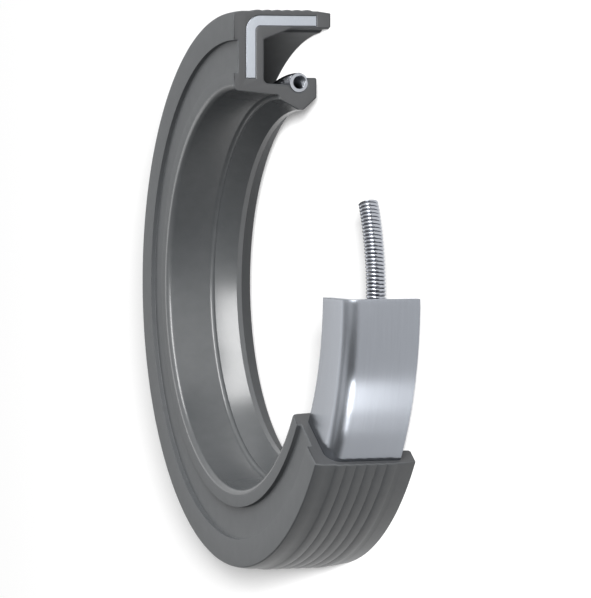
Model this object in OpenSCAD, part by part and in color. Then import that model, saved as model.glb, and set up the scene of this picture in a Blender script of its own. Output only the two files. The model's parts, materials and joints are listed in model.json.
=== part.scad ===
// Radial shaft seal, sectioned to show its inside.
// A rubber body is moulded over a bent steel case, and a coiled garter spring lies in a
// groove behind the sealing lip. The rubber is cut away over the part of the ring that
// shows the bare case, and the case is cut away where the bare spring stands out.
// The seal's axis is Z, its air side is up, and it rests on the rear end of its sleeve.
// Sections are drawn as [radius, depth], where depth counts from the air side face.

/* [Fit] */
// Bore of the housing that the seal presses into
housing_d = 42; // [40:0.5:52]
// Shaft that runs in the sealing lip
shaft_d = 28; // [25:0.5:29]
// Width from the air side face to the rear end
width = 7.9; // [7.7:0.1:12]
// How much the rib crests stand over the housing bore, on the diameter
press_allowance = 0.4; // [0.2:0.05:0.6]
// How much the two end rims stay under the housing bore, on the diameter
rim_clearance = 0.1; // [0.05:0.01:0.2]
// How much smaller than the shaft the free lip is, on the diameter
lip_interference = 0.8; // [0.4:0.1:1.2]

/* [Section cuts] */
// Angle of the first cut, counted round the axis from +X
cut_start = 90; // [60:1:120]
// Stretch of the ring that keeps its rubber
rubber_arc = 235; // [200:1:260]
// Stretch of the ring that keeps its steel case
case_arc = 270; // [262:1:300]
// Stretch of the ring that keeps its garter spring
spring_arc = 295.5; // [265:0.5:320]

/* [Steel case] */
// Thickness of the sheet
sheet_t = 0.8; // [0.6:0.05:1]
// Inside radius of the bend
bend_r = 0.35; // [0.2:0.05:0.6]
// Depth of the flange below the air side face
flange_depth = 1.03; // [0.8:0.01:1.2]
// Depth of the free end of the case's tube
case_end_depth = 6.75; // [6:0.05:7.2]
// Rubber between the case and the outer surface
cover_t = 0.34; // [0.25:0.01:0.5]
// Rubber between the flange's hole and the body's bore
nose_t = 0.95; // [0.7:0.05:1.2]

/* [Outer surface] */
// Height of the rib crests over the plain surface
rib_stand = 0.1; // [0.08:0.01:0.16]
// Height of a rib over the valley beside it
rib_height = 0.07; // [0.04:0.01:0.07]
// Distance from one rib to the next
rib_pitch = 0.8; // [0.6:0.05:0.85]
// Number of ribs
rib_count = 6; // [3:1:6]
// Depth of the first rib's crest
rib_depth = 2; // [1.9:0.05:2.3]
// Length of the rounded lead-in at the air side
lead_in_l = 0.9; // [0.6:0.05:1.2]
// Length of the chamfer at the rear end
rear_chamfer_l = 1.05; // [0.6:0.05:1.1]

/* [Air side face] */
// Width of the outer land
outer_land_w = 2.09; // [1.5:0.01:2.4]
// Width of the inner land with its rounded corner
inner_land_w = 1.37; // [1.1:0.01:1.6]
// Depth of the recess between the two lands
recess_depth = 0.35; // [0.2:0.01:0.45]
// Radius of the corner between the inner land and the bore
nose_r = 0.45; // [0.2:0.05:0.6]

/* [Inside of the sleeve] */
// Rubber on the inside of the case's tube
lining_t = 0.36; // [0.3:0.01:0.5]
// Rubber behind the case's flange
wall_cover_t = 0.66; // [0.5:0.01:0.8]
// Slope of the rubber in the corner between wall and sleeve
corner_slope = 20; // [12:1:30]
// Distance from the sleeve's inside down to the foot of that slope
corner_drop = 0.66; // [0.4:0.01:1]
// Chamfer on the sleeve's inner rear edge
sleeve_chamfer = 0.15; // [0.1:0.01:0.3]
// Number of marks that the mould's lugs leave, on the whole ring
lug_count = 8; // [6:1:12]
// Width of a lug mark as an angle
lug_angle = 10.8; // [6:0.2:14]
// Depth of a lug mark
lug_depth = 0.18; // [0.1:0.01:0.25]

/* [Flex section and lip] */
// Radial gap between the shaft and the front of the bore
bore_gap = 1.05; // [0.8:0.01:1.3]
// How much the bore narrows towards the lip, on the radius
bore_taper = 0.25; // [0.1:0.01:0.35]
// Depth of the step behind the bore
step_depth = 3.75; // [3.5:0.01:4]
// Height of the step's edge over the shaft
step_gap = 0.42; // [0.3:0.01:0.5]
// Radius in the corner of the step
step_r = 0.35; // [0.2:0.05:0.35]
// Height of the flex section's outer surface over the shaft, at the wall
flex_gap = 1.6; // [1.45:0.01:1.75]
// How much the flex section falls towards the groove
flex_fall = 0.11; // [0.05:0.01:0.2]
// Radius between the flex section and the wall
root_r = 0.4; // [0.2:0.05:0.6]
// Depth of the front end of the lip's contact band
lip_depth = 5.3; // [5.1:0.05:5.4]
// Length of the lip's contact band
contact_l = 0.4; // [0.2:0.05:0.5]
// Angle of the lip's oil side against the shaft
oil_angle = 41; // [35:1:48]
// Depth of the lip's rear face
heel_depth = 6.77; // [6.6:0.01:7]
// Height of the rim behind the spring over the shaft
heel_gap = 2.05; // [1.9:0.01:2.2]
// Radius on the edge of that rim
heel_r = 0.16; // [0.05:0.01:0.25]

/* [Garter spring] */
// Outside diameter of the spring
spring_d = 1.5; // [1.3:0.05:1.6]
// Height of the spring's centre line over the shaft
spring_gap = 1.69; // [1.6:0.01:1.8]
// Depth of the spring's centre line
spring_depth = 5.33; // [5.2:0.01:5.5]
// Thickness of the wire
wire_d = 0.25; // [0.15:0.01:0.25]
// Distance from one turn to the next
coil_pitch = 0.27; // [0.27:0.01:0.32]

/* [Hidden] */

rim_r = (housing_d - rim_clearance) / 2;
crest_r = (housing_d + press_allowance) / 2;
plain_r = crest_r - rib_stand;
shaft_r = shaft_d / 2;
lip_r = (shaft_d - lip_interference) / 2;

case_r = plain_r - cover_t;
tube_in_r = case_r - sheet_t;
bore_r = shaft_r + bore_gap;
flange_in_r = bore_r + nose_t;
flange_back = flange_depth + sheet_t;

sleeve_in_r = tube_in_r - lining_t;
wall_back = flange_back + wall_cover_t;
slope_foot_r = sleeve_in_r - corner_drop;
slope_end = wall_back + corner_drop / tan(corner_slope);

flex_r = shaft_r + flex_gap;
spring_r = shaft_r + spring_gap;
heel_rim_r = shaft_r + heel_gap;
step_edge_r = shaft_r + step_gap;
step_top_r = bore_r - bore_taper;
heel_foot_r = lip_r + (heel_depth - lip_depth - contact_l) * tan(oil_angle);

// The bare coil's wire starts inside the tube's wall, with this much cover on each side
wire_cover = 0.01;
coil_wall = wire_d + 3 * wire_cover;
// Facets of a full circle, and of each small corner arc
ring_facets = 180;
corner_facets = 8;
// Reach of a cutter past what it cuts
over = 0.5;

// Points of an arc about c from angle a to angle b
function arc(c, r, a, b) =
    [for (i = [0 : corner_facets])
        c + r * [cos(a + (b - a) * i / corner_facets), sin(a + (b - a) * i / corner_facets)]];

// Turns a section that is drawn as [radius, depth] round the axis
module revolve(start, angle) {
    rotate([0, 0, start])
        rotate_extrude(angle = angle, $fn = ring_facets)
            translate([0, width]) mirror([0, 1]) children();
}

// Outside of the rubber without its ribs: rounded lead-in, plain surface, rear chamfer
module sleeve_outline() {
    lead_rise = plain_r - rim_r;
    lead_r = (lead_in_l * lead_in_l + lead_rise * lead_rise) / (2 * lead_rise);
    lead_angle = asin(lead_in_l / lead_r);
    polygon(concat(
        [[slope_foot_r, 0]],
        arc([plain_r - lead_r, lead_in_l], lead_r, -lead_angle, 0),
        [[plain_r, width - rear_chamfer_l], [rim_r, width],
         [sleeve_in_r + sleeve_chamfer, width], [sleeve_in_r, width - sleeve_chamfer],
         [sleeve_in_r, slope_end], [slope_foot_r, wall_back]]));
}

// Wall between the outer land and the bore, with the flex section and the sealing lip
module wall_and_lip_outline() {
    polygon(concat(
        [[slope_foot_r + over, 0]],
        [[slope_foot_r + over, wall_back], [flex_r + root_r, wall_back]],
        arc([flex_r + root_r, wall_back + root_r], root_r, 270, 180),
        [[flex_r - flex_fall, spring_depth], [heel_rim_r, spring_depth]],
        arc([heel_rim_r - heel_r, heel_depth - heel_r], heel_r, 0, 90),
        [[heel_foot_r, heel_depth], [lip_r, lip_depth + contact_l], [lip_r, lip_depth],
         [step_edge_r, step_depth]],
        arc([step_top_r - step_r, step_depth - step_r], step_r, 90, 0),
        arc([bore_r + nose_r, nose_r], nose_r, 180, 270)));
}

// One rounded rib, of which only the crest stands over the plain surface
module rib() {
    rib_curve_r = rib_pitch * rib_pitch / (8 * rib_height) + rib_height / 2;
    intersection() {
        translate([crest_r - rib_curve_r, 0]) circle(rib_curve_r, $fn = 96);
        translate([plain_r - cover_t / 2, -rib_pitch / 2]) square([cover_t, rib_pitch]);
    }
}

// Section of the bent sheet
module case_section() {
    difference() {
        union() {
            translate([flange_in_r, flange_depth])
                square([case_r - flange_in_r, sheet_t]);
            translate([tube_in_r, flange_depth])
                square([sheet_t, case_end_depth - flange_depth]);
            translate([tube_in_r - bend_r, flange_back]) square(bend_r);
        }
        translate([tube_in_r - bend_r, flange_back + bend_r]) circle(bend_r, $fn = 48);
        difference() {
            translate([tube_in_r - bend_r, flange_depth]) square(sheet_t + bend_r);
            translate([tube_in_r - bend_r, flange_back + bend_r])
                circle(sheet_t + bend_r, $fn = 96);
        }
    }
}

// Section of the rubber, with the place of the case and the spring's groove
module rubber_section() {
    difference() {
        union() {
            sleeve_outline();
            wall_and_lip_outline();
            for (i = [0 : rib_count - 1])
                translate([0, rib_depth + i * rib_pitch]) rib();
        }
        translate([rim_r - outer_land_w - recess_w(), -over])
            square([recess_w(), recess_depth + over]);
        translate([spring_r, spring_depth]) circle(spring_d / 2, $fn = 64);
        case_section();
    }
}

function recess_w() = rim_r - outer_land_w - bore_r - inner_land_w;

// A mark of the mould's lug inside the sleeve, cut round the angle given
module lug_mark(angle) {
    revolve(angle - lug_angle / 2, lug_angle)
        polygon([[sleeve_in_r - over, slope_end], [sleeve_in_r - over, width + over],
                 [sleeve_in_r + lug_depth + sleeve_chamfer + over, width + over],
                 [sleeve_in_r + lug_depth, width - sleeve_chamfer],
                 [sleeve_in_r + lug_depth, slope_end + lug_depth / tan(corner_slope)]]);
}

module rubber_body() {
    color("dimgray")
        difference() {
            revolve(cut_start, rubber_arc) rubber_section();
            for (i = [0 : lug_count - 1])
                lug_mark(cut_start + i * 360 / lug_count);
        }
}

module steel_case() {
    color("lightsteelblue")
        revolve(cut_start, case_arc) case_section();
}

// Angle round the ring that a length along the spring's centre line takes
function along_angle(l) = l / spring_r * 180 / PI;

// Point on the wire's skin, a number of turns past the start of the coil
function wire_point(start, turns, side) =
    let (a = start + along_angle(turns * coil_pitch),
         turn = 360 * turns,
         coil_r = spring_d / 2 - wire_cover - wire_d / 2 + wire_d / 2 * cos(side),
         along = wire_d / 2 * sin(side),
         r = spring_r + coil_r * cos(turn))
    [r * cos(a) - along * sin(a), r * sin(a) + along * cos(a),
     width - spring_depth + coil_r * sin(turn)];

// One wire wound in a helix whose own axis follows the ring
module coil(start, turns) {
    steps_per_turn = 12;
    sides = 6;
    steps = round(turns * steps_per_turn);
    points = [for (i = [0 : steps], j = [0 : sides - 1])
        wire_point(start, i / steps_per_turn, 360 * j / sides)];
    skin = [for (i = [0 : steps - 1], j = [0 : sides - 1])
        let (k = (j + 1) % sides)
        [i * sides + k, i * sides + j, (i + 1) * sides + j, (i + 1) * sides + k]];
    first = [for (j = [0 : sides - 1]) j];
    last = [for (j = [0 : sides - 1]) (steps + 1) * sides - 1 - j];
    polyhedron(points, concat([first, last], skin));
}

// The seated stretch is closed to a tube, and the bare stretch shows its turns
module garter_spring() {
    buried = along_angle(wire_d / 2 + 2 * wire_cover);
    bare_start = cut_start + rubber_arc - buried;
    bare_turns = (cut_start + spring_arc - bare_start) * PI / 180 * spring_r / coil_pitch;
    color("silver") {
        revolve(cut_start, rubber_arc)
            translate([spring_r, spring_depth]) difference() {
                circle(spring_d / 2, $fn = 64);
                circle(spring_d / 2 - coil_wall, $fn = 64);
            }
        coil(bare_start, bare_turns);
    }
}

rubber_body();
steel_case();
garter_spring();
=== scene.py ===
# %% [markdown]
# # A sectioned radial shaft seal
#
# A shaft seal keeps oil inside a housing where a shaft comes out of it. This one is cut open to
# show its inside. Rubber is moulded over a bent steel case, and a garter spring presses the lip
# on the shaft. The seal lies on its sleeve's rear end with its axis along Z. Everything is in
# metres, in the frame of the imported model.
#
# Sections are drawn as [radius, depth] in millimetres, where depth counts down from the air side
# face, and are then swept round the axis.

# %% Load the frame
import json
import math

import bmesh
import bpy
import numpy as np
from mathutils import Matrix, Vector
from mathutils.geometry import tessellate_polygon

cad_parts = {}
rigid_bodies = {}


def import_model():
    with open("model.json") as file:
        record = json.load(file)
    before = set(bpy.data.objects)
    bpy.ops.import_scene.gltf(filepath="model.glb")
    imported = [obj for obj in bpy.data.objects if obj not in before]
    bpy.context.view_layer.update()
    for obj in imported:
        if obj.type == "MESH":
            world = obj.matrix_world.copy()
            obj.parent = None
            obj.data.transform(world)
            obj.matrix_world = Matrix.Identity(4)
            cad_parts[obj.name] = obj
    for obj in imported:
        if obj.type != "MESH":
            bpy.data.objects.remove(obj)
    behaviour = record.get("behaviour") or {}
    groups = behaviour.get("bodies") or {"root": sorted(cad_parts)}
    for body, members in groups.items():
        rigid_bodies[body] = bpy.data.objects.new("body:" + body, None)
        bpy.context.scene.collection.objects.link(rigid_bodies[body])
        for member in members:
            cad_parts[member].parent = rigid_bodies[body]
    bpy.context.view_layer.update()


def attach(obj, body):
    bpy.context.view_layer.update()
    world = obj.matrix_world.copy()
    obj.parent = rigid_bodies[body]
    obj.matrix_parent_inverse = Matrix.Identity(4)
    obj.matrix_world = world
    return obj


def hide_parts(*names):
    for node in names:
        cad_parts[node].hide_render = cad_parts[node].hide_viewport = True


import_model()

# %% [markdown]
# ## Sizes
#
# The real seal presses into a 42 mm bore and runs on a 28 mm shaft. The sizes could be read
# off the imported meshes, but a designer sets them, so they are named here in millimetres. Radii
# follow from the bore, the shaft, and the gaps and walls between them.

# %% Sizes
MM = 0.001
width = 7.9
shaft_r = 14.0
lip_r = 13.6
rim_r = 20.95
crest_r = 21.2
plain_r = 21.1
shaft_gap = 1.05
bore_r = shaft_r + shaft_gap
mean_r = 18.0

sheet_t = 0.8
bend_r = 0.35
cover_t = 0.34
flange_cover = 0.95
flange_depth = 1.03
case_end_depth = 6.75
case_r = plain_r - cover_t
tube_in_r = case_r - sheet_t
flange_in_r = bore_r + flange_cover

wall_t = 0.66
lining_t = 0.36
sleeve_in_r = tube_in_r - lining_t
sleeve_chamfer = 0.15
wall_back = flange_depth + sheet_t + wall_t
corner_drop = 0.66
corner_slope = math.radians(20)
slope_end = wall_back + corner_drop / math.tan(corner_slope)

cut_start = 90.0
rubber_arc = 235.0
case_arc = 270.0
spring_arc = 295.5
rubber_edge_r = 0.11
steel_edge_r = 0.06
print("case radius", round(case_r, 3), "sleeve radius", round(sleeve_in_r, 3))

# %% [markdown]
# ## Section helpers
#
# The mould and the press leave a small round on every edge of the real seal. A Bevel modifier
# could round the finished mesh, but it gets into trouble where tight corners lie beside long
# curves, so the corners are rounded while the section is still a flat outline.

# %% Section helpers
def rounded(corners, steps=4):
    """A closed section from corners given as (radius, depth, corner radius).

    A corner of radius q whose edges turn through the angle a becomes an arc of the circle that
    touches both. Its ends lie q tan(a / 2) from the corner, and never past the edges' middles.
    """
    pts = np.array([corner[:2] for corner in corners], float)
    arcs = []
    for i, (_, _, q) in enumerate(corners):
        here = pts[i]
        back = pts[i - 1] - here
        ahead = pts[(i + 1) % len(pts)] - here
        back_l = np.linalg.norm(back)
        ahead_l = np.linalg.norm(ahead)
        u = back / back_l
        v = ahead / ahead_l
        turn = math.pi - math.acos(np.clip(u @ v, -1, 1))
        if q <= 0 or turn < 1e-4:
            arcs.append(here[None])
            continue
        cut = min(q * math.tan(turn / 2), 0.48 * back_l, 0.48 * ahead_l)
        q = cut / math.tan(turn / 2)
        middle = (u + v) / np.linalg.norm(u + v)
        centre = here + middle * (q / math.cos(turn / 2))
        arm = here + u * cut - centre
        side = math.copysign(1, u[0] * v[1] - u[1] * v[0])
        a = -side * turn * np.arange(steps + 1) / steps
        c = np.cos(a)
        s = np.sin(a)
        arcs.append(centre + np.stack([c * arm[0] - s * arm[1], s * arm[0] + c * arm[1]], 1))
    return np.concatenate(arcs)


def arc_points(centre, r, a, b, steps=8):
    """Points at the radius r from a centre, at even angles from a to b in degrees."""
    t = np.radians(np.linspace(a, b, steps + 1))
    return centre + r * np.stack([np.cos(t), np.sin(t)], 1)


def outward(loop):
    """Normals at the points of a closed loop, pointing out of it.

    Each is the sum of its two edges' unit normals, made longer by 1 / cos(half the turn), so
    that a loop moved by them keeps an even distance. The length stops at 2.
    """
    ahead = np.roll(loop, -1, 0) - loop
    length = np.linalg.norm(ahead, axis=1)
    assert length.min() > 1e-4, f"two points of a section coincide near {loop[length.argmin()]}"
    ahead /= length[:, None]
    back = np.roll(ahead, 1, 0)
    edge_normal = np.stack([ahead[:, 1], -ahead[:, 0]], 1)
    normal = edge_normal + np.stack([back[:, 1], -back[:, 0]], 1)
    normal /= np.linalg.norm(normal, axis=1)[:, None]
    x, y = loop.T
    area = 0.5 * np.sum(x * np.roll(y, -1) - np.roll(x, -1) * y)
    longer = 1.0 / np.clip(np.sum(normal * edge_normal, 1), 0.5, 1.0)
    return np.sign(area) * normal * longer[:, None]


square = rounded([(0, 0, 0.1), (1, 0, 0.1), (1, 1, 0.1), (0, 1, 0.1)])
print("a square with rounded corners has", len(square), "points")

# %% [markdown]
# ## Where the sections stand
#
# Rubber and case are one section turned round an axis and then cut open. A Screw modifier would
# turn the section too, but its cuts would have knife edges that catch no light. So the sections
# stand at chosen stations: one each degree, more beside a mould mark, and six close together at
# each cut, where the section shrinks and gives the cut its rounded edge.

# %% Stations
def ring_stations(start, arc, edge, extra=()):
    """Rows of (angle, distance from the cut face, side of the cut, shrink).

    A cut's edge has the radius e. On it, the section at the distance e (1 - sin t) from the cut
    shrinks by e (1 - cos t), for t from 0 to a right angle.
    """
    stop = start + arc
    t = np.linspace(0, math.pi / 2, 6)
    distance = edge * (1 - np.sin(t))
    shrink = edge * (1 - np.cos(t))
    one = np.ones(len(t))
    first = np.stack([start * one, distance, one, shrink], 1)[::-1]
    last = np.stack([stop * one, distance, -one, shrink], 1)
    angles = np.unique(np.concatenate([np.arange(start + 1, stop - 0.5, 1.0), extra]))
    angles = angles[(angles > start + 0.5) & (angles < stop - 0.5)]
    between = np.zeros((len(angles), 4))
    between[:, 0] = angles
    return np.concatenate([first, between, last])


case_stations = ring_stations(cut_start, case_arc, steel_edge_r)
print("stations round the case:", len(case_stations))

# %% [markdown]
# ## From sections to a mesh
#
# Every station holds the same number of points, so the skin is a grid, and four neighbours in
# it make a face. The cuts are flat, and may have a hollow in them. One many-sided face could
# close a cut, but it can't have a hole, so Blender's own tessellation fills it with triangles.

# %% Points and faces
def swept_points(loop, stations, normal, change=None):
    """A loop at every station: its points in metres, and its sections in millimetres.

    A section shrinks along its normals, and each of its points is turned away from the cut by
    asin(distance / radius). change is (weight of an angle, shift of each point), and moves the
    section by weight times shift. (r, depth) at the angle a is (r cos a, r sin a, width - depth).
    """
    angle, distance, side, shrink = stations.T[:, :, None]
    sections = np.repeat(loop[None], len(stations), 0)
    if change is not None:
        weight, shift = change
        sections = sections + weight(stations[:, 0])[:, None, None] * shift
    sections = sections - shrink[:, :, None] * normal
    r = sections[:, :, 0]
    a = np.radians(angle) + side * np.arcsin(distance / r)
    points = np.stack([r * np.cos(a), r * np.sin(a), width - sections[:, :, 1]], -1) * MM
    return points, sections


def ring_quads(rows, columns, first=0):
    """Point numbers of the quads of a grid whose last column joins its first."""
    i, j = np.meshgrid(np.arange(rows - 1), np.arange(columns), indexing="ij")
    here = i * columns + j
    beside = i * columns + (j + 1) % columns
    return np.stack([here, beside, beside + columns, here + columns], -1).reshape(-1, 4) + first


def cut_triangles(outlines):
    """Point numbers of the triangles that fill a flat cut. outlines are (points, first number)."""
    loops = [[Vector((r, depth, 0)) for r, depth in points] for points, _ in outlines]
    numbers = np.concatenate([first + np.arange(len(points)) for points, first in outlines])
    return numbers[np.array(tessellate_polygon(loops))]


def closed_mesh(name, points, faces):
    """A mesh whose faces point outwards. An edge is open unless it has exactly two faces."""
    mesh = bpy.data.meshes.new(name)
    mesh.from_pydata(points.reshape(-1, 3), [], faces)
    work = bmesh.new()
    work.from_mesh(mesh)
    bmesh.ops.recalc_face_normals(work, faces=work.faces)
    work.to_mesh(mesh)
    work.free()
    edges = np.zeros(len(mesh.loops), np.int32)
    mesh.loops.foreach_get("edge_index", edges)
    open_edges = int(np.sum(np.bincount(edges) != 2))
    print(name, len(mesh.polygons), "faces,", open_edges, "open edges")
    return mesh


print("quads between two rows of four points:", ring_quads(2, 4).tolist())

# %% [markdown]
# ## One sweep for rubber and case
#
# The rubber has a hollow for the case, and its skin has four finishes. Two meshes could be
# joined afterwards, and faces could be picked by where they lie. But the sweep knows which face
# came from which part of the section, so it hands out the materials itself.

# %% Sweep
def sweep_mesh(name, loops, stations, change=None, pocket=(1.0, 1.0), cut_slot=0, bands=()):
    """A closed mesh from section loops. The first loop is the outside, the others are hollows.

    pocket scales how far a hollow's edge is rounded at the first and the last cut. The point
    attribute cut_face is 1 on the two flat cuts and 0 on the rest of the skin. The flat cuts
    take the material in cut_slot. Each of the bands is (first, last, slot), and gives the
    outer loop's faces from the first point to the last another material.
    """
    grids = []
    faces = []
    slots = []
    on_cut = []
    cuts = [[], []]
    first = 0
    for number, loop in enumerate(loops):
        rows = stations.copy()
        slot_round = np.zeros(len(loop), np.int32)
        if number == 0:
            points, sections = swept_points(loop, rows, outward(loop), change)
            for start, stop, slot in bands:
                slot_round[start:stop] = slot
        else:
            rows[rows[:, 2] > 0, 3] *= pocket[0]
            rows[rows[:, 2] < 0, 3] *= pocket[1]
            points, sections = swept_points(loop, rows, -outward(loop))
        row_on_cut = np.zeros(points.shape[:2], np.float32)
        row_on_cut[[0, -1]] = 1
        grids.append(points.reshape(-1, 3))
        on_cut.append(row_on_cut.ravel())
        faces.append(ring_quads(len(rows), len(loop), first))
        slots.append(np.tile(slot_round, len(rows) - 1))
        cuts[0].append((sections[0], first))
        first += len(rows) * len(loop)
        cuts[1].append((sections[-1], first - len(loop)))
    tris = np.concatenate([cut_triangles(outlines) for outlines in cuts])
    slots.append(np.full(len(tris), cut_slot, np.int32))
    mesh = closed_mesh(name, np.concatenate(grids), np.concatenate(faces).tolist() + tris.tolist())
    mesh.polygons.foreach_set("material_index", np.concatenate(slots))
    weight = mesh.attributes.new("cut_face", "FLOAT", "POINT")
    weight.data.foreach_set("value", np.concatenate(on_cut))
    return mesh


def piece(name, mesh, node, materials, sharp=32):
    """An object that stands for a CAD node and rides on the root body.

    Edges that turn by more than the angle sharp, in degrees, are shaded as edges.
    """
    mesh.shade_smooth()
    mesh.set_sharp_from_angle(angle=math.radians(sharp))
    obj = bpy.data.objects.new(name, mesh)
    bpy.context.scene.collection.objects.link(obj)
    for material in materials:
        mesh.materials.append(material)
    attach(obj, "root")
    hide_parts(node)
    return obj


# %% [markdown]
# ## Tools for the materials
#
# Three stuffs show: moulded rubber, bright sheet and drawn wire. Each could be a picture laid on
# the mesh, but a small node tree keeps its grain as fine as on the real piece at any distance.
# These helpers add a node, a sum or a material in one line each.

# %% Node helpers
def new_group(name, inputs, outputs):
    """A shader node group with named float, vector or colour sockets."""
    group = bpy.data.node_groups.new(name, "ShaderNodeTree")
    for label, kind, value in inputs:
        socket = group.interface.new_socket(label, in_out="INPUT", socket_type=kind)
        if value is not None:
            socket.default_value = value
    for label, kind in outputs:
        group.interface.new_socket(label, in_out="OUTPUT", socket_type=kind)
    return group


def add(tree, kind, **settings):
    """A node with its properties set. Keys that start with i_ set inputs by name."""
    node = tree.nodes.new(kind)
    for key, value in settings.items():
        if key.startswith("i_"):
            node.inputs[key[2:].replace("_", " ")].default_value = value
        else:
            setattr(node, key, value)
    return node


def math_node(tree, operation, *values):
    """A Math node whose inputs are sockets or numbers."""
    node = add(tree, "ShaderNodeMath", operation=operation)
    for socket, value in zip(node.inputs, values):
        if isinstance(value, (int, float)):
            socket.default_value = value
        else:
            tree.links.new(value, socket)
    return node.outputs[0]


def mix_sockets(mix):
    """The two inputs and the output that a Mix node shows for its kind of data."""
    a, b = [s for s in mix.inputs if s.name in ("A", "B") and s.enabled]
    return a, b, next(s for s in mix.outputs if s.enabled)


def new_material(name):
    """A material with its node tree and its Principled BSDF."""
    material = bpy.data.materials.new(name)
    material.use_nodes = True
    tree = material.node_tree
    return material, tree, tree.nodes["Principled BSDF"]


print("materials so far:", len(bpy.data.materials))

# %% [markdown]
# ## Grain
#
# No real surface has one colour and one gloss: rubber shows the grain of its mould, sheet the
# lines of the rolls, and wire the marks of its die. Each material could have noise nodes of its
# own, but the effect is the same, and only its fineness and its range differ. So it is one node
# group, built once, and each material places it with its own values.

# %% Grain
def make_grain():
    """Noise that runs from one colour and gloss to another, with its height for a bump.

    The colour is Dark where the noise is under 0.3 and Light where it is over 0.7. The
    roughness is Smooth + noise * (Rough - Smooth).
    """
    group = new_group(
        "grain",
        [("Vector", "NodeSocketVector", None), ("Scale", "NodeSocketFloat", 1.0),
         ("Detail", "NodeSocketFloat", 2.0), ("Dark", "NodeSocketColor", None),
         ("Light", "NodeSocketColor", None), ("Smooth", "NodeSocketFloat", 0.3),
         ("Rough", "NodeSocketFloat", 0.5)],
        [("Color", "NodeSocketColor"), ("Roughness", "NodeSocketFloat"),
         ("Height", "NodeSocketFloat")])
    given = add(group, "NodeGroupInput").outputs
    out = add(group, "NodeGroupOutput").inputs
    noise = add(group, "ShaderNodeTexNoise")
    tone = add(group, "ShaderNodeMapRange", i_From_Min=0.3, i_From_Max=0.7)
    spread = add(group, "ShaderNodeMapRange")
    mix = add(group, "ShaderNodeMix", data_type="RGBA")
    dark, light, colour = mix_sockets(mix)
    for output, socket in (
            (given["Vector"], noise.inputs["Vector"]),
            (given["Scale"], noise.inputs["Scale"]),
            (given["Detail"], noise.inputs["Detail"]),
            (noise.outputs["Fac"], tone.inputs["Value"]),
            (tone.outputs["Result"], mix.inputs["Factor"]),
            (given["Dark"], dark),
            (given["Light"], light),
            (noise.outputs["Fac"], spread.inputs["Value"]),
            (given["Smooth"], spread.inputs["To Min"]),
            (given["Rough"], spread.inputs["To Max"]),
            (colour, out["Color"]),
            (spread.outputs["Result"], out["Roughness"]),
            (noise.outputs["Fac"], out["Height"])):
        group.links.new(output, socket)
    return group


grain = make_grain()


def place_grain(tree, vector, **values):
    """The grain group in a material, on a vector and with its own values."""
    node = add(tree, "ShaderNodeGroup", node_tree=grain, **values)
    tree.links.new(vector, node.inputs["Vector"])
    return node


def add_bump(tree, shader, height, strength, depth):
    """A bump of a given strength, and a depth in millimetres, on the shader's normal."""
    bump = add(tree, "ShaderNodeBump", i_Strength=strength, i_Distance=depth * MM)
    tree.links.new(height, bump.inputs["Height"])
    tree.links.new(bump.outputs["Normal"], shader.inputs["Normal"])


print("node group:", grain.name, "with", len(grain.nodes), "nodes")

# %% [markdown]
# ## Where a blade has cut
#
# The picture shows the rubber cut open. A cut is matt, and it is given a darker colour than the
# moulded skin, which is painted shade for the cut faces that are lit from the side. The cuts
# could have a material of their own, but the skin goes over into them on a small round. So the
# mesh says where it is cut, in a point attribute, and this group blends by it.

# %% Cut blend
def make_cut_blend():
    """Colour and roughness that go from the skin's to the cut's by the attribute cut_face."""
    group = new_group(
        "cut_matt_and_painted_shade",
        [("Skin Color", "NodeSocketColor", None), ("Cut Color", "NodeSocketColor", None),
         ("Skin Roughness", "NodeSocketFloat", 0.3), ("Cut Roughness", "NodeSocketFloat", 0.5)],
        [("Color", "NodeSocketColor"), ("Roughness", "NodeSocketFloat")])
    given = add(group, "NodeGroupInput").outputs
    out = add(group, "NodeGroupOutput").inputs
    # The Cut Color it blends to is painted shade for the side-lit cuts; Cut Roughness is the real
    # matt cut.
    mask = add(group, "ShaderNodeAttribute", attribute_name="cut_face")
    for kind, name in (("RGBA", "Color"), ("FLOAT", "Roughness")):
        mix = add(group, "ShaderNodeMix", data_type=kind)
        skin, cut, result = mix_sockets(mix)
        group.links.new(mask.outputs["Fac"], mix.inputs["Factor"])
        group.links.new(given["Skin " + name], skin)
        group.links.new(given["Cut " + name], cut)
        group.links.new(result, out[name])
    return group


cut_matt_and_painted_shade = make_cut_blend()
print("node group:", cut_matt_and_painted_shade.name, "with", len(cut_matt_and_painted_shade.nodes), "nodes")

# %% [markdown]
# ## Moulded rubber
#
# Nitrile rubber is dark grey. The bore and the lip come from a polished core and are the
# glossiest. The ribbed outside is duller, and the front face is satin. The pocket and the lip's
# oil side are dull, because that side of a mould is only blasted. One material could change its
# gloss by where a point lies, but a mould's parts end at clear edges, so there are four
# materials from one recipe, and only their gloss differs.

# %% Moulded rubber
skin_dark = (0.094, 0.1, 0.105, 1)
skin_light = (0.105, 0.111, 0.116, 1)
# Painted shade: the cuts get a grey darker than the skin's, standing for the shade on the side-lit
# cut faces.
cut_painted_shade = (0.052, 0.054, 0.057, 1)
mottle_per_mm = 0.9
grain_per_mm = 14.0


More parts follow.
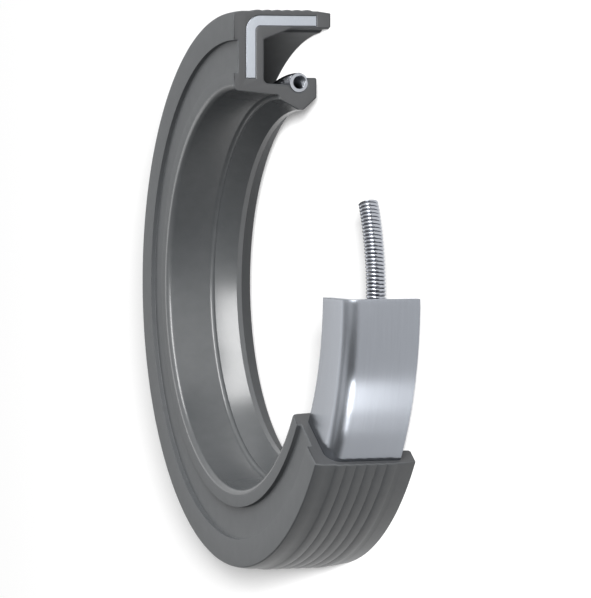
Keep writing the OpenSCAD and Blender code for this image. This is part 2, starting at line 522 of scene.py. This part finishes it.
def make_rubber(name, smooth, rough, specular):
    """Dark grey moulded rubber: fine grain between two roughnesses, duller where it is cut."""
    material, tree, shader = new_material(name)
    place = add(tree, "ShaderNodeTexCoord").outputs["Object"]
    mottle = place_grain(tree, place, i_Scale=mottle_per_mm / MM, i_Detail=3.0,
                         i_Dark=skin_dark, i_Light=skin_light)
    fine = place_grain(tree, place, i_Scale=grain_per_mm / MM, i_Smooth=smooth, i_Rough=rough)
    # The cut's colour is painted shade; its roughness of 0.55 is the real matt cut.
    blend = add(tree, "ShaderNodeGroup", node_tree=cut_matt_and_painted_shade, i_Cut_Color=cut_painted_shade,
                i_Cut_Roughness=0.55)
    tree.links.new(mottle.outputs["Color"], blend.inputs["Skin Color"])
    tree.links.new(fine.outputs["Roughness"], blend.inputs["Skin Roughness"])
    tree.links.new(blend.outputs["Color"], shader.inputs["Base Color"])
    tree.links.new(blend.outputs["Roughness"], shader.inputs["Roughness"])
    add_bump(tree, shader, fine.outputs["Height"], strength=0.1, depth=0.02)
    shader.inputs["Specular IOR Level"].default_value = specular
    return material


polished_rubber = make_rubber("polished_rubber", 0.22, 0.29, 0.9)
outside_rubber = make_rubber("outside_rubber", 0.38, 0.48, 0.65)
pocket_rubber = make_rubber("pocket_rubber", 0.6, 0.72, 0.4)
face_rubber = make_rubber("face_rubber", 0.5, 0.6, 0.55)
rubbers = [polished_rubber, outside_rubber, pocket_rubber, face_rubber]
print("rubber finishes:", [material.name for material in rubbers])

# %% [markdown]
# ## Ring coordinates
#
# The sheet was rolled and then drawn, so its faint lines run round the ring. A texture on plain
# Object coordinates would run straight through it. This node group bends them: it puts out the
# length round the ring, the radius and the height, in millimetres.

# %% Ring coordinates
def make_ring_coords():
    """(x, y, z) in metres as (mean radius * atan2(y, x), sqrt(x x + y y), z) in millimetres."""
    group = new_group("ring_coords", [], [("Ring", "NodeSocketVector")])
    coords = add(group, "ShaderNodeTexCoord")
    split = add(group, "ShaderNodeSeparateXYZ")
    group.links.new(coords.outputs["Object"], split.inputs[0])
    x, y, z = split.outputs
    xx = math_node(group, "MULTIPLY", x, x)
    yy = math_node(group, "MULTIPLY", y, y)
    radius = math_node(group, "SQRT", math_node(group, "ADD", xx, yy))
    angle = math_node(group, "ARCTAN2", y, x)
    join = add(group, "ShaderNodeCombineXYZ")
    group.links.new(math_node(group, "MULTIPLY", angle, mean_r), join.inputs[0])
    group.links.new(math_node(group, "MULTIPLY", radius, 1 / MM), join.inputs[1])
    group.links.new(math_node(group, "MULTIPLY", z, 1 / MM), join.inputs[2])
    out = add(group, "NodeGroupOutput")
    group.links.new(join.outputs[0], out.inputs[0])
    return group


ring_coords = make_ring_coords()
print("node group:", ring_coords.name, "with", len(ring_coords.nodes), "nodes")

# %% [markdown]
# ## Bare steel
#
# Sheet, cut sheet and wire are all bare steel and differ only in their grain. A material for
# each from scratch would repeat the same links, so one recipe takes the coordinates that the
# grain runs on, how many grains there are to a unit of each of them, and the grain's values.

# %% Metal recipe
def make_metal(name, coordinates, per_unit, **values):
    """Bare steel with grain on Ring or Object coordinates. Also returns the nodes to add to."""
    material, tree, shader = new_material(name)
    if coordinates == "Ring":
        source = add(tree, "ShaderNodeGroup", node_tree=ring_coords)
    else:
        source = add(tree, "ShaderNodeTexCoord")
    mapping = add(tree, "ShaderNodeMapping", i_Scale=per_unit)
    tree.links.new(source.outputs[coordinates], mapping.inputs["Vector"])
    marks = place_grain(tree, mapping.outputs["Vector"], **values)
    tree.links.new(marks.outputs["Color"], shader.inputs["Base Color"])
    tree.links.new(marks.outputs["Roughness"], shader.inputs["Roughness"])
    shader.inputs["Metallic"].default_value = 1.0
    return material, tree, shader, marks


print("node groups:", [group.name for group in bpy.data.node_groups])

# %% [markdown]
# ## Bright sheet
#
# The case is pressed from cold-rolled strip. Its fine lines run round the ring, so it mirrors
# sharply along them and smears across them. Many hair-thin grooves in the mesh would show that
# too, at a great cost, so the shader's anisotropy does it, with its tangent round the Z axis.

# %% Bright sheet
def make_drawn_steel():
    """Bright rolled sheet: long fine lines round the ring and a slight uneven polish."""
    material, tree, shader, lines = make_metal(
        "bright_sheet", "Ring", (0.3, 26.0, 26.0), i_Smooth=0.22, i_Rough=0.27,
        i_Dark=(0.25, 0.265, 0.292, 1), i_Light=(0.28, 0.296, 0.324, 1))
    add_bump(tree, shader, lines.outputs["Height"], strength=0.03, depth=0.004)
    around = add(tree, "ShaderNodeTangent", direction_type="RADIAL", axis="Z")
    tree.links.new(around.outputs["Tangent"], shader.inputs["Tangent"])
    shader.inputs["Anisotropic"].default_value = 0.95
    shader.inputs["Anisotropic Rotation"].default_value = 0.25
    return material


steel = make_drawn_steel()
print("finish:", steel.name)

# %% [markdown]
# ## The sheet where it is cut
#
# A ground section has short marks in every place and no drawing direction, so it spreads light
# evenly, and it is given a paler colour than the skin. It could share the skin's tree, but
# anisotropy can't be switched off by a mask, so the flat cuts get a material slot of their own.

# %% Cut sheet
cut_steel = make_metal(
    "cut_sheet", "Object", (2.5 / MM, 2.5 / MM, 22 / MM), i_Smooth=0.38, i_Rough=0.5,
    i_Dark=(0.4, 0.427, 0.466, 1), i_Light=(0.435, 0.462, 0.502, 1))[0]
print("finish:", cut_steel.name)

# %% [markdown]
# ## Spring wire
#
# Hard-drawn wire is smooth and bright. Each turn is a quarter of a millimetre thick, so its own
# round shape makes the highlights. Finer marks could be bumps, but none would show at this size,
# and the material only needs a low, slightly uneven roughness.

# %% Spring wire
wire = make_metal(
    "spring_wire", "Object", (3 / MM, 3 / MM, 3 / MM), i_Smooth=0.16, i_Rough=0.26,
    i_Dark=(0.36, 0.375, 0.41, 1), i_Light=(0.4, 0.415, 0.45, 1))[0]
print("finish:", wire.name)

# %% [markdown]
# ## The rubber body
#
# The real body is one moulding: the ribbed outside, the sleeve, the wall, the flex section, the
# spring's groove, the lip and the recessed front face. It could be joined from several shapes
# with Booleans, but one closed section says it all and has no seams. The case lies in a hollow
# of its own, which is a second loop of the same sweep.

# %% Sizes of the body
lead_in_l = 0.9
ribs_from = 1.55
ribs_to = 6.45
rear_rim_l = 1.05

spring_d = 1.5
spring_c = np.array([shaft_r + 1.69, 5.33])
flex_r = shaft_r + 1.6
flex_fillet = 0.4
heel_rim_r = shaft_r + 2.05
heel_depth = 6.77
heel_slope = math.radians(41)

lip_depth = 5.3
contact_l = 0.4
lip_root_r = shaft_r + 0.42
lip_root_depth = 3.75
heel_foot_r = lip_r + (heel_depth - lip_depth - contact_l) * math.tan(heel_slope)
bore_end_r = bore_r - 0.25
bore_end_round = 0.35

nose_r = 0.45
recess_depth = 0.35
recess_in_r = bore_r + 1.37
recess_out_r = rim_r - 2.09
lug_mark_depth = 0.18
print("recess from radius", round(recess_in_r, 2), "to", round(recess_out_r, 2))

# %% [markdown]
# ## Its curved stretches
#
# The outside bulges into a lead-in and six ribs that press into the housing, and the groove
# holds the spring. They could be splines through a few points, but a toolmaker turns them as
# arcs, so each is an arc here whose radius follows from its chord and its height.

# %% Curved stretches
def lead_in():
    """The lead-in from the front rim to the plain surface.

    An arc that rises by h over the length l has the radius (l l + h h) / 2 h.
    """
    rise = plain_r - rim_r
    r = (lead_in_l ** 2 + rise ** 2) / (2 * rise)
    turn = math.degrees(math.asin(lead_in_l / r))
    return arc_points((plain_r - r, lead_in_l), r, -turn, 0)[1:]


def ribs(count=6, first=2.0, pitch=0.8, height=0.07, inset=0.008):
    """The ribs, each an arc over one pitch p with the radius p p / 8 h + h / 2.

    Their crests lie a little inside the solid's, whose ribs have flat faces.
    """
    r = pitch ** 2 / (8 * height) + height / 2
    half = math.degrees(math.asin(pitch / 2 / r))
    arcs = [arc_points((crest_r - inset - r, first + i * pitch), r, -half, half)
            for i in range(count)]
    return np.concatenate([arcs[0]] + [arc[1:] for arc in arcs[1:]])


def groove(fall=0.083):
    """The groove, an arc about the spring from the flex section to the rear rim.

    It starts where the circle comes to the flex section's radius less its fall, and stops where
    it comes to the rim's. A circle is at the radius R at the angle acos((R - centre) / r).
    """
    r = spring_d / 2
    a = 180 + math.degrees(math.acos((spring_c[0] - flex_r + fall) / r))
    b = math.degrees(math.acos((heel_rim_r - spring_c[0]) / r))
    return arc_points(spring_c, r, a, b, 28)


print("points of the ribs:", len(ribs()), "and of the groove:", len(groove()))

# %% [markdown]
# ## The section
#
# All corners go into one list, round the outside, the sleeve, the pocket, the lip, the bore and
# the front face. The mould's lugs hold the case while the rubber flows, and leave eight shallow
# marks in the sleeve. Separate cutters could press them in, but it is simpler to have the
# section twice, plain and marked, and to sweep between the two.

# %% The rubber section
def sharp_points(points):
    """Section points as corners that stay sharp."""
    return [(r, depth, 0) for r, depth in points]


def rubber_corners(mark):
    """Corners of the outer loop. mark is how deep a lug has marked the sleeve."""
    sleeve_r = sleeve_in_r + mark
    fillet_c = (flex_r + flex_fillet, wall_back + flex_fillet)
    bore_end_c = (bore_end_r - bore_end_round, lip_root_depth - bore_end_round)
    return (
        [(rim_r, 0, 0.07)]
        + sharp_points(lead_in())
        + [(plain_r, ribs_from, 0)]
        + sharp_points(ribs())
        + [(plain_r, ribs_to, 0),
           (plain_r, width - rear_rim_l, 0.4),
           (rim_r, width, 0.06),
           (sleeve_r + sleeve_chamfer, width, 0.03),
           (sleeve_r, width - sleeve_chamfer, 0.03),
           (sleeve_r, slope_end + mark / math.tan(corner_slope), 0.15),
           (sleeve_in_r - corner_drop, wall_back, 0.12)]
        + sharp_points(arc_points(fillet_c, flex_fillet, 270, 180))
        + sharp_points(groove())
        + [(heel_rim_r, heel_depth, 0.16),
           (heel_foot_r, heel_depth, 0.06),
           (lip_r, lip_depth + contact_l, 0.02),
           (lip_r, lip_depth, 0.02),
           (lip_root_r, lip_root_depth, 0.05)]
        + sharp_points(arc_points(bore_end_c, bore_end_round, 90, 0))
        + sharp_points(arc_points((bore_r + nose_r, nose_r), nose_r, 180, 270))
        + [(recess_in_r, 0, 0.02),
           (recess_in_r, recess_depth, 0.05),
           (recess_out_r, recess_depth, 0.04),
           (recess_out_r, 0, 0.03)])


body_loop = rounded(rubber_corners(0))
marked_loop = rounded(rubber_corners(lug_mark_depth))
print("section points:", len(body_loop), "plain and", len(marked_loop), "marked")

# %% [markdown]
# ## Sweeping the body
#
# The section is swept from one cut to the other. Between two marks it is the plain one, and on
# a mark it is the marked one, with a short step at each side. Each station could be told which
# section to take, but a weight that depends on the angle says it for all of them at once.

# %% Marks of the lugs
lug_pitch = 45.0
lug_half = 5.4
lug_step = 0.2


def lug_weight(angle):
    """1 on a mark and 0 between marks: (half mark - distance) / step + 1/2, held in 0 to 1."""
    off = np.abs((angle - cut_start + lug_pitch / 2) % lug_pitch - lug_pitch / 2)
    return np.clip((lug_half - off) / lug_step + 0.5, 0, 1)


lug_centres = cut_start + lug_pitch * np.arange(9)
step_at = lug_half + lug_step * np.array([-0.6, -0.2, 0.2, 0.6])
lug_sides = np.add.outer(lug_centres, np.concatenate([-step_at, step_at])).ravel()
body_stations = ring_stations(cut_start, rubber_arc, rubber_edge_r, lug_sides)
print("stations round the body:", len(body_stations))

# %% [markdown]
# ## The hollow and the finishes
#
# The hollow has the case's own section, so the two meet everywhere. A finish ends at a corner
# of the section. The corners' numbers could be counted by hand, but they change with every
# rounding, so the loop is searched for the point that is nearest to each corner.

# %% The rubber body
def nearest(point):
    """The index of the body loop's point that lies nearest to the one given."""
    return int(np.argmin(np.linalg.norm(body_loop - point, axis=1)))


case_loop = rounded([
    (flange_in_r, flange_depth, 0.03), (case_r, flange_depth, sheet_t + bend_r),
    (case_r, case_end_depth, 0.03), (tube_in_r, case_end_depth, 0.03),
    (tube_in_r, flange_depth + sheet_t, bend_r), (flange_in_r, flange_depth + sheet_t, 0.03)],
    steps=10)
outside_start = nearest(lead_in()[0])
pocket_start = nearest((rim_r, width))
pocket_stop = nearest((lip_r, lip_depth + contact_l))
face_start = nearest((bore_r + nose_r, 0))
body_mesh = sweep_mesh(
    "rubber", [body_loop, case_loop], body_stations,
    change=(lug_weight, marked_loop - body_loop), pocket=(0.6, 0.15),
    bands=[(0, outside_start, rubbers.index(face_rubber)),
           (outside_start, pocket_start, rubbers.index(outside_rubber)),
           (pocket_start, pocket_stop, rubbers.index(pocket_rubber)),
           (face_start, len(body_loop), rubbers.index(face_rubber))])
piece("rubber_seal_body", body_mesh, "rubber_body", rubbers)

# %% [markdown]
# ## The steel case
#
# The case is an L-shaped ring of 0.8 mm sheet that the rubber is moulded on. Solidify on a bent
# strip would do as well, but its section is needed for the body's hollow anyway, so the same
# loop is swept over a longer stretch.

# %% The steel case
case_mesh = sweep_mesh("case", [case_loop], case_stations, cut_slot=1)
case_piece = piece("pressed_steel_case", case_mesh, "steel_case",
                   [steel, cut_steel])

# %% [markdown]
# ## The garter spring
#
# The spring is one wire wound close round a line that itself follows the ring. An Array and a
# Curve modifier could bend a straight coil, but a formula gives every turn its true place. The
# two ends are cut flat: what would pass a cut lies on it.

# %% The garter spring
def coil_mesh(pitch=0.27, wire_d=0.25, per_turn=24, sides=10, play=0.01, overrun=0.9):
    """A tube of round wire on a grid of steps along it and points round it.

    In n turns the wire's centre goes pitch * n along the ring and 2 pi n about the spring's own
    centre line. play is the gap to the groove. The wire begins and ends overrun times its half
    thickness past the cuts, and is pressed flat there.
    """
    half = wire_d / 2
    length = math.radians(spring_arc) * spring_c[0]
    turns = (length + 2 * overrun * half) / pitch
    n = np.linspace(0, turns, int(turns * per_turn) + 1)[:, None]
    side = 2 * math.pi * np.arange(sides)[None, :] / sides
    turn = 2 * math.pi * n
    arm = spring_d / 2 - play - half + half * np.cos(side)
    along = np.clip(pitch * n - overrun * half + half * np.sin(side), 0, length)
    a = math.radians(cut_start) + along / spring_c[0]
    r = spring_c[0] + arm * np.cos(turn)
    z = width - spring_c[1] + arm * np.sin(turn)
    points = np.stack([r * np.cos(a), r * np.sin(a), z], -1) * MM
    first_end = np.arange(sides)
    last_end = first_end + (len(n) - 1) * sides
    print("turns of the coil:", round(turns))
    return closed_mesh("coil", points, ring_quads(len(n), sides).tolist()
                       + [first_end.tolist(), last_end.tolist()])


piece("coiled_garter_spring", coil_mesh(), "garter_spring", [wire], sharp=60)

# %% [markdown]
# ## The floor
#
# A product picture has a white ground with a soft shadow. Strong light would turn the floor
# white, but the seal too. Here the lamps stay plain, and Light Path makes the floor white for
# camera, glossy and transmitted rays alike, so the steel mirrors the same white that shows.

# %% Floor
def background_rays(tree):
    """1 for camera, glossy and transmitted rays, which all see the same background."""
    path = add(tree, "ShaderNodeLightPath")
    seen = math_node(tree, "MAXIMUM", path.outputs["Is Camera Ray"], path.outputs["Is Glossy Ray"])
    return math_node(tree, "MAXIMUM", seen, path.outputs["Is Transmission Ray"])


def make_floor(half=3.0, gap=0.00001):
    """A white floor that keeps the soft shadow, part matt white and part glow.

    It reaches half, in metres, to each side, and lies a gap under the seal.
    """
    mesh = bpy.data.meshes.new("floor")
    mesh.from_pydata([(-half, -half, 0), (half, -half, 0), (half, half, 0), (-half, half, 0)],
                     [], [(0, 1, 2, 3)])
    obj = bpy.data.objects.new("floor", mesh)
    bpy.context.scene.collection.objects.link(obj)
    obj.location.z = -gap
    material, tree, shader = new_material("floor_white")
    tree.nodes.remove(shader)
    out = tree.nodes["Material Output"]
    dull = add(tree, "ShaderNodeBsdfDiffuse", i_Color=(0.08, 0.08, 0.08, 1))
    white = add(tree, "ShaderNodeBsdfDiffuse", i_Color=(0.75, 0.75, 0.75, 1))
    glow = add(tree, "ShaderNodeEmission", i_Color=(1, 1, 1, 1), i_Strength=0.25)
    both = add(tree, "ShaderNodeAddShader")
    tree.links.new(white.outputs[0], both.inputs[0])
    tree.links.new(glow.outputs[0], both.inputs[1])
    mix = add(tree, "ShaderNodeMixShader")
    tree.links.new(background_rays(tree), mix.inputs[0])
    tree.links.new(dull.outputs[0], mix.inputs[1])
    tree.links.new(both.outputs[0], mix.inputs[2])
    tree.links.new(mix.outputs[0], out.inputs["Surface"])
    mesh.materials.append(material)
    return obj


floor = make_floor()
print("floor in metres:", tuple(floor.dimensions))

# %% [markdown]
# ## The lamps
#
# Two large soft keys on the camera's side and a weak lamp overhead give the rubber a plain
# level, and one behind fills the far side. More lamps on everything could brighten the floor
# too. Instead, light linking keeps these off it and gives it a lamp of its own, so that its
# white and the seal's level are set apart. Four more light only the case, two low beside it,
# one behind and one over its bend, because bare steel needs something bright to mirror.

# %% Lamps
def soft_lamp(name, place, aim, size, watts, obj, link="INCLUDE"):
    """A flat lamp at a place in millimetres that looks at another.

    Its light goes to the one object alone, or with EXCLUDE to everything but that object.
    """
    light = bpy.data.lights.new(name, "AREA")
    light.shape = "RECTANGLE"
    light.size = size[0] * MM
    light.size_y = size[1] * MM
    light.energy = watts
    lamp = bpy.data.objects.new(name, light)
    bpy.context.scene.collection.objects.link(lamp)
    lamp.location = Vector(place) * MM
    lamp.rotation_mode = "QUATERNION"
    lamp.rotation_quaternion = (Vector(aim) - Vector(place)).to_track_quat("-Z", "Y")
    receivers = bpy.data.collections.new(name + "_receivers")
    receivers.objects.link(obj)
    receivers.collection_objects[0].light_linking.link_state = link
    lamp.light_linking.receiver_collection = receivers


ring_centre = (0, 0, 4)
soft_lamp("key_front", (231, 98, 163), ring_centre, (165, 125), 0.58, floor, "EXCLUDE")
soft_lamp("key_upper", (126, 227, 150), ring_centre, (185, 100), 0.5, floor, "EXCLUDE")
soft_lamp("overhead", (140, 40, 262), ring_centre, (230, 170), 0.06, floor, "EXCLUDE")
soft_lamp("back_fill", (-195, -60, 205), ring_centre, (210, 160), 0.14, floor, "EXCLUDE")
soft_lamp("low_side", (224, -190, 25), (14, -6, 4), (60, 60), 0.28, case_piece)
soft_lamp("low_side_fill", (188, -228, 25), (14, -6, 4), (50, 60), 0.08, case_piece)
soft_lamp("rear_side", (-233, -10, 92), (15, -6, 5), (160, 120), 0.015, case_piece)
soft_lamp("over_bend", (50, -110, 215), (14, -6, 5), (110, 110), 0.04, case_piece)
soft_lamp("floor_fill", (833, 104, 320), (0, 0, 0), (140, 140), 27.0, floor)
print("lamps:", len(bpy.data.lights))

# %% [markdown]
# ## The world
#
# A seal in a studio mirrors its walls as well as its lamps. One plain white all round would be
# simpler, but would wash out the rubber evenly. So the walls fall from white on the ring's +Y
# side to grey on its -Y side, which keeps a slow change of tone along the ring. Camera, glossy
# and transmitted rays all see these walls, and everything else gets a faint even light.

# %% World
def make_world():
    """A studio whose walls fall from white on the ring's +Y side to grey on its -Y side."""
    world = bpy.data.worlds.new("studio")
    bpy.context.scene.world = world
    world.use_nodes = True
    tree = world.node_tree
    sky = tree.nodes["Background"]
    sky.inputs["Color"].default_value = (1, 1, 1, 1)
    coords = add(tree, "ShaderNodeTexCoord")
    split = add(tree, "ShaderNodeSeparateXYZ")
    tree.links.new(coords.outputs["Generated"], split.inputs[0])
    place = add(tree, "ShaderNodeMapRange", interpolation_type="SMOOTHSTEP", i_From_Min=-0.6,
                i_From_Max=0.35, i_To_Min=0.2, i_To_Max=1.0)
    tree.links.new(split.outputs[1], place.inputs["Value"])
    mix = add(tree, "ShaderNodeMix", data_type="FLOAT")
    faint, walls, strength = mix_sockets(mix)
    faint.default_value = 0.05
    tree.links.new(background_rays(tree), mix.inputs["Factor"])
    tree.links.new(place.outputs["Result"], walls)
    tree.links.new(strength, sky.inputs["Strength"])
    return world


print("world:", make_world().name)

# %% [markdown]
# ## The camera
#
# The camera's place, tilt and lens were solved from the ring's outlines, so that the render can
# be laid over the photograph. The picture's up is the ring's +Y. Three unit vectors say where
# the camera's right, up and back point, which is clearer here than three angles.

# %% Camera
def make_camera(sensor_mm=36, focal_px=4805.7, frame_px=598):
    """The picture's camera. Its lens is the focal length in pixels * sensor / frame."""
    turn = math.radians(20.946)
    tilt = math.radians(2.216)
    roll = math.radians(0.052)
    back = Vector((math.cos(tilt) * math.cos(turn), math.sin(tilt),
                   math.cos(tilt) * math.sin(turn)))
    level = Vector((0, 1, 0)).cross(back).normalized()
    upright = back.cross(level)
    right = math.cos(roll) * level + math.sin(roll) * upright
    up = math.cos(roll) * upright - math.sin(roll) * level
    data = bpy.data.cameras.new("photo_camera")
    data.sensor_width = sensor_mm
    data.lens = focal_px * sensor_mm / frame_px
    data.clip_start = 0.01
    data.clip_end = 10
    obj = bpy.data.objects.new("photo_camera", data)
    bpy.context.scene.collection.objects.link(obj)
    place = Vector((340.86, 13.37, 133.33)) * MM
    obj.matrix_world = Matrix.Translation(place) @ Matrix((right, up, back)).transposed().to_4x4()
    bpy.context.scene.camera = obj
    return obj


print("camera lens:", round(make_camera().data.lens, 1))
bpy.context.scene.view_settings.view_transform = "Standard"
